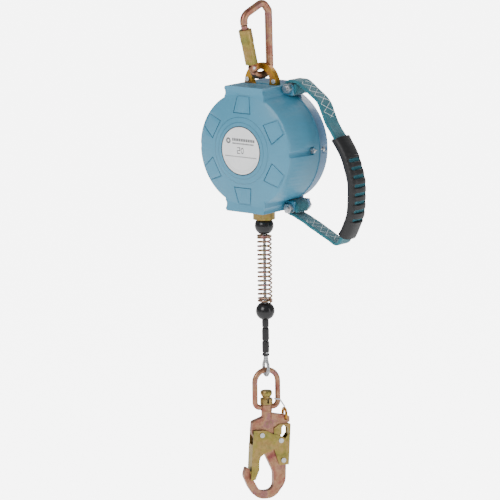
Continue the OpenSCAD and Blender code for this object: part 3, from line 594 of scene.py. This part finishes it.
def layFloor():
    drop = cadBounds[0][2] - studio["floorDrop"]
    corners = np.array([[-1, -1], [1, -1], [1, 1], [-1, 1]], float) * studio["floorReach"]
    mesh = bpy.data.meshes.new("floor")
    mesh.from_pydata(np.column_stack([corners, np.full(4, drop)]).tolist(), [], [(0, 1, 2, 3)])
    floor = bpy.data.objects.new("floor", mesh)
    bpy.context.scene.collection.objects.link(floor)
    pale = Finish("pale_floor")
    # the camera sees a brighter glow than the one that lights the object from below
    toCamera = pale.node("ShaderNodeLightPath", output="Is Camera Ray")
    glow = pale.mix(toCamera, (1, 1, 1), (studio["floorSeen"],) * 3)
    mesh.materials.append(pale.surface(
        Base_Color=pale.mix(pale.noise(2.0), (0.90, 0.90, 0.90), (0.93, 0.93, 0.93)), Roughness=0.8,
        Emission_Color=glow, Emission_Strength=studio["floorGlow"]))


layFloor()
print("camera, lights and floor placed")

# frame parts that keep their own mesh: finish for each
keptFinish = {
    "machined": ["main_axle", "axle_nut", "frame_spacers", "frame_screws", "power_spring_case", "brake_nut",
                 "pressure_plate", "cable_drum", "spring_arbor", "pawl_pins", "pawl_a", "pawl_b",
                 "ratchet_ring", "bolt_sleeves", "thimble"],
    "darkSpring": ["power_spring", "disc_spring", "pawl_springs"],
    "bronze": ["drum_bushes"],
    "lining": ["friction_discs"],
    "strand": ["wound_cable", "cable_lead"],
    "black": ["nozzle_bush"],
    "caseSeal": ["case_seal"],
    "steel": ["carabiner_gate_pin", "bail_wire"],
    "label": ["label_disc"],
    "ink": ["label_rim"],
}
for finishName, nodes in keptFinish.items():
    for node in nodes:
        part = frame["nodes"][node]
        part.data.materials.clear()
        part.data.materials.append(finishes[finishName])

# frame parts that are copied and given rolled edges: finish, edge width in mm, sharpest kept angle
softEdges = {
    "front_cover": ("case", 0.9, 28), "rear_cover": ("caseRearShaded", 0.8, 28),
    "front_frame_plate": ("gold", 0.5, 30), "rear_frame_plate": ("gold", 0.5, 30),
    "bracket_rivets": ("steel", 0.5, 40), "case_bolts": ("steel", 0.4, 25), "case_nuts": ("steel", 0.5, 25),
    "side_screws": ("steel", 0.3, 40), "line_nozzle": ("yellow", 0.6, 40),
    "carabiner_gate": ("rose", 0.4, 45),
    "lock_sleeve": ("yellow", 0.25, 35), "swivel_bail": ("rose", 0.5, 50),
    "swivel_stud": ("yellow", 0.5, 35), "hook_frame": ("rose", 2.8, 35), "tag_ring": ("gold", 0.2, 60),
    "hook_gate": ("yellow", 0.45, 35), "lock_lever": ("yellow", 0.45, 35),
    "gate_rivets": ("steel", 0.4, 40), "gate_tail_pin": ("steel", 0.4, 40),
}
for node, (finishName, width, angle) in softEdges.items():
    softened(node, finishName, width, angle)
print("frame parts finished")

# carabiner bow: a forged bar in an upright plane, with a shallow channel down each side; the route's points
# are x in that plane and height, in mm, and each bend is a radius
bow = {"turn": 72.0, "radius": 5.5, "channel": 0.13, "channelWidth": 0.42, "tongue": 2.3, "thinFrom": 11.0,
       "route": [[-29.6, -26], [-32.3, -13.5], [2.3, 4.9], [11.6, -8], [13.1, -99.9], [-14, -101],
                 [-16.5, -88.6], [-17.4, -84.4]],
       "bends": [0, 14, 8, 6, 14.9, 12, 0, 0]}


def carabinerBow():
    # radius = r * (1 - channel * bell of the angle from the side); the hinge end thins to a tongue
    line, s = evenly(roundedPath(bow["route"], bow["bends"], 4.0), 0.7)
    outward = frameOf(line)[1]
    a = np.linspace(0, 2 * np.pi, 48, endpoint=False)
    fromSide = np.abs(np.abs(np.mod(a + np.pi, 2 * np.pi) - np.pi) - np.pi / 2)
    radius = bow["radius"] * (1 - bow["channel"] * np.exp(-(fromSide / bow["channelWidth"]) ** 2))
    fromEnd = s[-1] - s
    thin = 1 - (1 - bow["tongue"] / bow["radius"]) / (1 + np.exp((fromEnd - bow["thinFrom"]) * 2.5))
    closing = np.sqrt(np.clip(fromEnd / 4.0, 0.02, 1)) * np.sqrt(np.clip(s / 0.8 + 0.5, 0, 1))
    out = (radius * np.cos(a))[None] * closing[:, None]
    across = (radius * np.sin(a))[None] * (thin * closing)[:, None]
    flat = line[:, None] + outward[:, None] * out[..., None]
    turn = math.radians(bow["turn"])
    points = np.stack([flat[..., 0] * math.cos(turn) - across * math.sin(turn),
                       flat[..., 0] * math.sin(turn) + across * math.cos(turn), flat[..., 1]], -1)
    gridPiece("carabiner_bow", points * mm, "carabiner", "rose", ["carabiner_frame"])


carabinerBow()

# black sleeves on the rope: height share from the bottom and radius share of each sleeve
sleeves = {
    "stop_sleeve": [
        (0.0, 0.55), (0.0, 0.84), (0.06, 0.93), (0.5, 0.97), (0.92, 0.95), (1.0, 0.88), (1.0, 0.55)],
    "ferrule_sleeve": [
        (0.0, 0.55), (0.0, 0.80), (0.05, 0.95), (0.14, 1.0),
        (0.84, 1.0), (0.95, 0.95), (1.0, 0.82), (1.0, 0.55)],
    "tail_sleeve": [
        (0.0, 0.72), (0.0, 0.90), (0.04, 0.99), (0.12, 0.99), (0.17, 0.83), (0.22, 0.83), (0.28, 0.97),
        (0.86, 1.0), (0.95, 0.95), (1.0, 0.82), (1.0, 0.55)],
}


def ropeSleeves():
    # rings of each profile, filled in between its points, turned about the line
    for name, profile in sleeves.items():
        low, high = (np.array(v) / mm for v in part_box(name))
        shape = evenly(np.array(profile) * [high[2] - low[2], (high[0] - low[0]) / 2], 0.4)[0]
        rings = turnedRings(shape[:, ::-1], (0, 0, low[2] * mm), sides=48)
        gridPiece(name + "_shrunk", rings, "line", "rubber", [name], closeRows=True)


ropeSleeves()

# stop balls, in mm: a sphere cut flat above and below, with the edges of its bore and flats rolled over
ball = {"radius": 13.75, "flat": 11.3, "bore": 2.8, "seam": 0.12}


def stopBall(name, body):
    # profile: (R cos t, R sin t) between the flats, plus a low bell-shaped ridge where the halves meet
    edge = math.asin(ball["flat"] / ball["radius"])
    t = np.linspace(-edge, edge, 60)
    side = np.stack([ball["radius"] * np.cos(t) + ball["seam"] * np.exp(-(t / 0.02) ** 2),
                     ball["radius"] * np.sin(t)], -1)
    rim = side[-1, 0]
    lid = [[rim - 1.2, ball["flat"] + 0.1], [ball["bore"] + 1.2, ball["flat"] - 0.2],
           [ball["bore"], ball["flat"] - 1.4]]
    profile = np.vstack([[[r, -z] for r, z in lid[::-1]], side, lid])
    gridPiece(name + "_shell", turnedRings(profile, middle(name)), body, "black", [name], closeRows=True)


stopBall("upper_ball", "upper_ball")
stopBall("lower_ball", "line")

# bumper spring: a round wire, in mm, on a helix whose end turns close up
spring = {"turns": 17, "wire": 2.6, "closed": 1.2, "stepsPerTurn": 40, "sides": 12}


def bumperSpring():
    # point = (r cos a, r sin a, height(a)), where height rises slowly in the first and last turns
    low, high = (np.array(v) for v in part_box("bumper_spring"))
    wire = spring["wire"] / 2 * mm
    radius = (high[0] - low[0]) / 2 - wire
    turns = np.linspace(0, spring["turns"], spring["turns"] * spring["stepsPerTurn"] + 1)
    ease = 1 / (1 + np.exp(-(turns - spring["closed"]) * 5)) / (
        1 + np.exp((turns - spring["turns"] + spring["closed"]) * 5)) + 0.42
    rise = np.concatenate([[0], np.cumsum((ease[1:] + ease[:-1]) / 2)])
    z = low[2] + wire + (high[2] - low[2] - 2 * wire) * rise / rise[-1]
    a = 2 * np.pi * turns
    line = np.stack([radius * np.cos(a), radius * np.sin(a), z], -1)
    outward = np.stack([np.cos(a), np.sin(a), 0 * a], -1)
    tangent = np.gradient(line, axis=0)
    tangent /= np.linalg.norm(tangent, axis=1)[:, None]
    side = np.cross(tangent, outward)
    b = np.linspace(0, 2 * np.pi, spring["sides"], endpoint=False)
    rings = line[:, None] + wire * (np.cos(b)[None, :, None] * outward[:, None]
                                    + np.sin(b)[None, :, None] * side[:, None])
    piece = gridPiece("bumper_spring_wire", rings, None, "springWire", ["bumper_spring"])
    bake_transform(piece)


bumperSpring()

# steel rope, in mm: six strands show as lobes that turn along the line
rope = {"diameter": 4.8, "lobes": 6, "depth": 0.11, "lay": 26.0, "sides": 36}


def ropeAlong(name, line, body, replaced, sideways=(0, 1, 0), spacing=1.0):
    # radius = r * (1 - depth + depth * |cos|) of half the lobe angle, turned once in each lay length;
    # sideways is a direction square to the whole line
    line, s = evenly(np.array(line, float), spacing)
    tangent = np.gradient(line, axis=0)
    tangent /= np.linalg.norm(tangent, axis=1)[:, None]
    sideways = np.broadcast_to(np.array(sideways, float), line.shape)
    normal = np.cross(sideways, tangent)
    normal /= np.linalg.norm(normal, axis=1)[:, None]
    a = np.linspace(0, 2 * np.pi, rope["sides"], endpoint=False)
    turn = 2 * np.pi * s / rope["lay"]
    lobe = np.abs(np.cos(rope["lobes"] / 2 * (a[None] - turn[:, None])))
    radius = rope["diameter"] / 2 * (1 - rope["depth"] + rope["depth"] * lobe)[..., None]
    rings = line[:, None] + radius * (np.cos(a)[None, :, None] * normal[:, None]
                                      + np.sin(a)[None, :, None] * sideways[:, None])
    uv = np.stack(np.broadcast_arrays(a[None] / (2 * np.pi) * rope["lobes"], s[:, None] * mm), -1)
    return gridPiece(name, rings * mm, body, "strand", replaced, uv=uv)


cableLow, cableHigh = (v.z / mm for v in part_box("lifeline_cable"))
straight = np.stack([np.zeros(60), np.zeros(60), np.linspace(cableHigh, cableLow, 60)], -1)
paidOut = ropeAlong("lifeline_rope", straight, None, ["lifeline_cable"])
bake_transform(paidOut)

# rope eye: its plane's turn about the upright, and the straight end that runs up beside the line, in mm
eye = {"turn": -28.0, "legs": 2.6, "radius": 8.2, "straightEnd": -502.0}


def ropeEye():
    # down one leg, round the bottom of the eye and up the other leg, in the eye's own upright plane
    low, high = (v.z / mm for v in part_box("cable_eye"))
    ringZ = low + eye["radius"] + rope["diameter"] / 2
    r, x = eye["radius"] - 0.01, eye["legs"]
    path = roundedPath([[-x, 30], [-x, 16], [-eye["radius"], 7], [-eye["radius"], -eye["radius"]],
                        [eye["radius"], -eye["radius"]], [eye["radius"], 7], [x, 16], [x, 30]],
                       [0, 8, 6, r, r, 6, 8, 0])
    turn = math.radians(eye["turn"])
    along = np.array([math.cos(turn), math.sin(turn), 0])
    across = np.array([-math.sin(turn), math.cos(turn), 0])
    line = path[:, :1] * along + (path[:, 1:] + ringZ) * np.array([0, 0, 1.0])
    ropeAlong("rope_eye", line, "line", ["cable_eye"], across, 0.6)
    ropeAlong("rope_tail", [[0, 0, high], [0, 0, eye["straightEnd"]]], "line", [])


ropeEye()
print("line end made")

# the handle, in mm: the webbing's way between its two bolt loops, in x and z about the case centre
strap = {"width": 27.0, "thick": 5.0, "lift": 3.2, "boltX": 43.0, "boltZ": 87.0, "loop": 9.5,
         "middle": 22.5,
         "route": [[43, 96.5], [56, 96.5], [94, 71], [108, 40], [124, 19], [139, -2], [152, -40],
                   [150, -88], [138, -113], [125, -134], [62, -104], [43, -96.5]],
         "bends": [0, 14, 30, 40, 60, 60, 60, 60, 40, 8, 20, 0]}
grip = {"width": 32.0, "thick": 17.6, "slots": 8, "slotReach": 9.6, "slotHalf": 2.5, "tip": 6.0,
        "route": [[124, 19], [139, -2], [152, -40], [150, -88], [138, -113], [134, -119]],
        "bends": [0, 60, 60, 60, 40, 0]}


def loopArc(z, start, end):
    # an arc about a handle bolt, between two angles in degrees
    a = np.radians(np.linspace(start, end, 60))
    return np.stack([strap["boltX"] + strap["loop"] * np.cos(a), z + strap["loop"] * np.sin(a)], -1)


def toFrame(flat, y):
    # x and z about the case centre and y, in mm, to frame metres
    flat, y = np.asarray(flat), np.asarray(y)
    return np.stack([flat[..., 0] * mm, y * mm, flat[..., 1] * mm + caseCentre[2]], -1)


def webbing():
    # a flat band, two layers thick, whose section is a superellipse with a groove along each edge:
    # y = half width * sign(cos) |cos|^0.24 and n = half thickness * sign(sin) |sin|^0.5. Under the grip the
    # band lifts outwards, with a smooth step at each end, and two slow sines ripple its edges
    main = roundedPath(strap["route"], strap["bends"])
    topLoop = loopArc(strap["boltZ"], 35, -270)[:-1]
    footLoop = loopArc(-strap["boltZ"], -90, -395)[1:]
    line, s = evenly(np.vstack([topLoop, main, footLoop]), 1.2)
    outward = frameOf(line)[1]
    a = np.linspace(0, 2 * np.pi, 44, endpoint=False)
    y = strap["width"] / 2 * np.sign(np.cos(a)) * np.abs(np.cos(a)) ** 0.24
    n = strap["thick"] / 2 * np.sign(np.sin(a)) * np.abs(np.sin(a)) ** 0.5
    y = y * (1 - 0.05 * np.exp(-(n / 0.35) ** 2))
    n = n * (1 - 0.06 * np.cos(np.pi * y / strap["width"]) ** 8)
    ripple = 0.22 * np.sin(s / 9.0) + 0.15 * np.sin(s / 3.7 + 1)
    gripStart, gripEnd = (s[np.argmin(np.linalg.norm(line - np.array(grip["route"][k]), axis=1))]
                          for k in (1, -3))
    lift = strap["lift"] / (1 + np.exp(-(s - gripStart) / 4)) / (1 + np.exp((s - gripEnd - 22) / 4))
    line = line + outward * lift[:, None]
    raised = n[None] + ripple[:, None] * (y / 13.5)[None]
    flat = line[:, None] + outward[:, None] * raised[..., None]
    points = toFrame(flat, np.broadcast_to(y + strap["middle"], flat.shape[:2]))
    uv = np.stack(np.broadcast_arrays(y[None] * mm, s[:, None] * mm), -1)
    band = gridPiece("handle_webbing", points, "case", "webbing", ["handle_strap"], uv=uv)
    return main


strapLine = webbing()


def threadLine(name, line, s, across, start, end, side):
    # a thread pressed into the webbing: across(s) says where it lies between the edges, and the thread's
    # radius swells with |sin| of the distance along it, once for each stitch
    at = np.linspace(start, end, int((end - start) / 0.45))
    outward = frameOf(line)[1]
    base = np.stack([np.interp(at, s, line[:, k]) for k in (0, 1)], -1)
    out = np.stack([np.interp(at, s, outward[:, k]) for k in (0, 1)], -1)
    y = across(at) + strap["middle"]
    path = toFrame(base + out * (strap["thick"] / 2 + 0.12) * side, y)
    lift = np.stack([out[:, 0], 0 * at, out[:, 1]], -1) * side
    tangent = np.gradient(path, axis=0)
    tangent /= np.linalg.norm(tangent, axis=1)[:, None]
    beside = np.cross(tangent, lift)
    a = np.linspace(0, 2 * np.pi, 6, endpoint=False)
    stitch = (0.26 + 0.12 * np.abs(np.sin(at * np.pi / 3.2)))[:, None, None] * mm
    rings = path[:, None] + stitch * (np.cos(a)[None, :, None] * lift[:, None] * 0.8
                                      + np.sin(a)[None, :, None] * beside[:, None])
    gridPiece(name, rings, "case", "thread")


def zigzag(pitch, reach, phase, lean):
    # a triangle wave across the webbing, arcsin of a sine, that wanders a little
    def across(at):
        wave = np.arcsin(np.sin(2 * np.pi * (at / pitch + phase)))
        return reach * (2 / np.pi) * wave + lean * np.sin(at)

    return across


# zigzags between two distances from each end of the webbing, in mm; the inner face's are shorter
stitches = {"pitch": 27.0, "reach": 11.3, "lean": 0.25, "top": (16.0, 84.0), "foot": (78.0, 12.0)}
line, s = evenly(strapLine, 0.8)
for side, sideName in ((1, "outer"), (-1, "inner")):
    topEnd = (stitches["top"][0] + (14 if side < 0 else 0), stitches["top"][1])
    footEnd = (s[-1] - stitches["foot"][0], s[-1] - stitches["foot"][1] - (12 if side < 0 else 0))
    for endName, (start, end) in (("top", topEnd), ("foot", footEnd)):
        for number, phase in enumerate((0.0, 0.43)):
            threadLine(f"stitching_{endName}_{sideName}_{number + 1}", line, s,
                       zigzag(stitches["pitch"], stitches["reach"], phase, stitches["lean"]),
                       start, end, side)


def squashed(wave, power):
    # sign(wave) * |wave| ^ power
    return np.sign(wave) * np.abs(wave) ** power


def gripShell():
    # an oval sleeve: n = half depth * squashed cos and y = half width * squashed sin. Its outer half is cut
    # where a point is within slotHalf of a slot's middle line, and its inner edge is drawn out at each end
    line, s = evenly(roundedPath(grip["route"], grip["bends"]), 0.55)
    tangent, outward = frameOf(line)
    length = s[-1]
    a = np.linspace(0, 2 * np.pi, 96, endpoint=False)
    n = grip["thick"] / 2 * squashed(np.cos(a), 0.85)
    y = grip["width"] / 2 * squashed(np.sin(a), 0.8)
    first, last = length * 0.20, length * 0.84
    pitch = (last - first) / grip["slots"]
    inSlots = (s > first) & (s < last)
    fromMiddle = np.abs((s - first) / pitch - np.floor((s - first) / pitch) - 0.5) * pitch
    beyond = np.hypot(np.clip(np.abs(y) - grip["slotReach"], 0, None)[None], fromMiddle[:, None])
    cut = np.clip((grip["slotHalf"] - beyond) / 0.5 + 0.5, 0, 1) * inSlots[:, None] * (n > 0)[None]
    pulse = np.clip((grip["slotHalf"] - fromMiddle) / 0.5 + 0.5, 0, 1) * inSlots
    flare = 0.05 * np.exp(-s / 6) + 0.05 * np.exp(-(length - s) / 6)
    bulge = 1 + 0.07 * np.cos(np.pi * (s / length - 0.5)) + flare
    waist = np.where(inSlots, 1.0, 1.04)
    depth = n[None] * bulge[:, None] * waist[:, None]
    depth = depth * (1 - cut) + np.minimum(depth, 1.2) * cut
    ridge = 0.9 * (1 - pulse)[:, None] * inSlots[:, None] * np.clip(np.cos(a), 0, 1)[None] ** 0.5
    wide = y[None] * (1 + 0.04 * np.exp(-s / 5) + 0.04 * np.exp(-(length - s) / 5))[:, None]
    inner = np.clip(-np.cos(a), 0, 1) ** 3
    draw = grip["tip"] * (np.exp(-(length - s) / 9)[:, None] - np.exp(-s / 9)[:, None]) * inner[None]
    raised = (depth + ridge)[..., None]
    flat = line[:, None] + outward[:, None] * raised + tangent[:, None] * draw[..., None]
    outer = toFrame(flat, wide + strap["middle"])
    # the ends turn in to the webbing so that the sleeve's wall shows
    hole = np.stack([strap["thick"] / 2 * 1.06 * squashed(np.cos(a), 0.5),
                     strap["width"] / 2 * 1.02 * squashed(np.sin(a), 0.3)], -1)
    mouths = []
    for k in (0, -1):
        lip = line[k] + outward[k] * hole[:, :1] + tangent[k] * draw[k][:, None] * 0.1
        inward = tangent[k] * (6.0 if k == 0 else -6.0)
        mouths.append([toFrame(lip, hole[:, 1] + strap["middle"]),
                       toFrame(lip + inward, hole[:, 1] + strap["middle"])])
    rings = np.concatenate([[mouths[0][1], mouths[0][0]], outer, [mouths[1][0], mouths[1][1]]])
    gridPiece("grip_sleeve", rings, "case", "rubber", ["handle_grip"])


gripShell()
print("handle made")
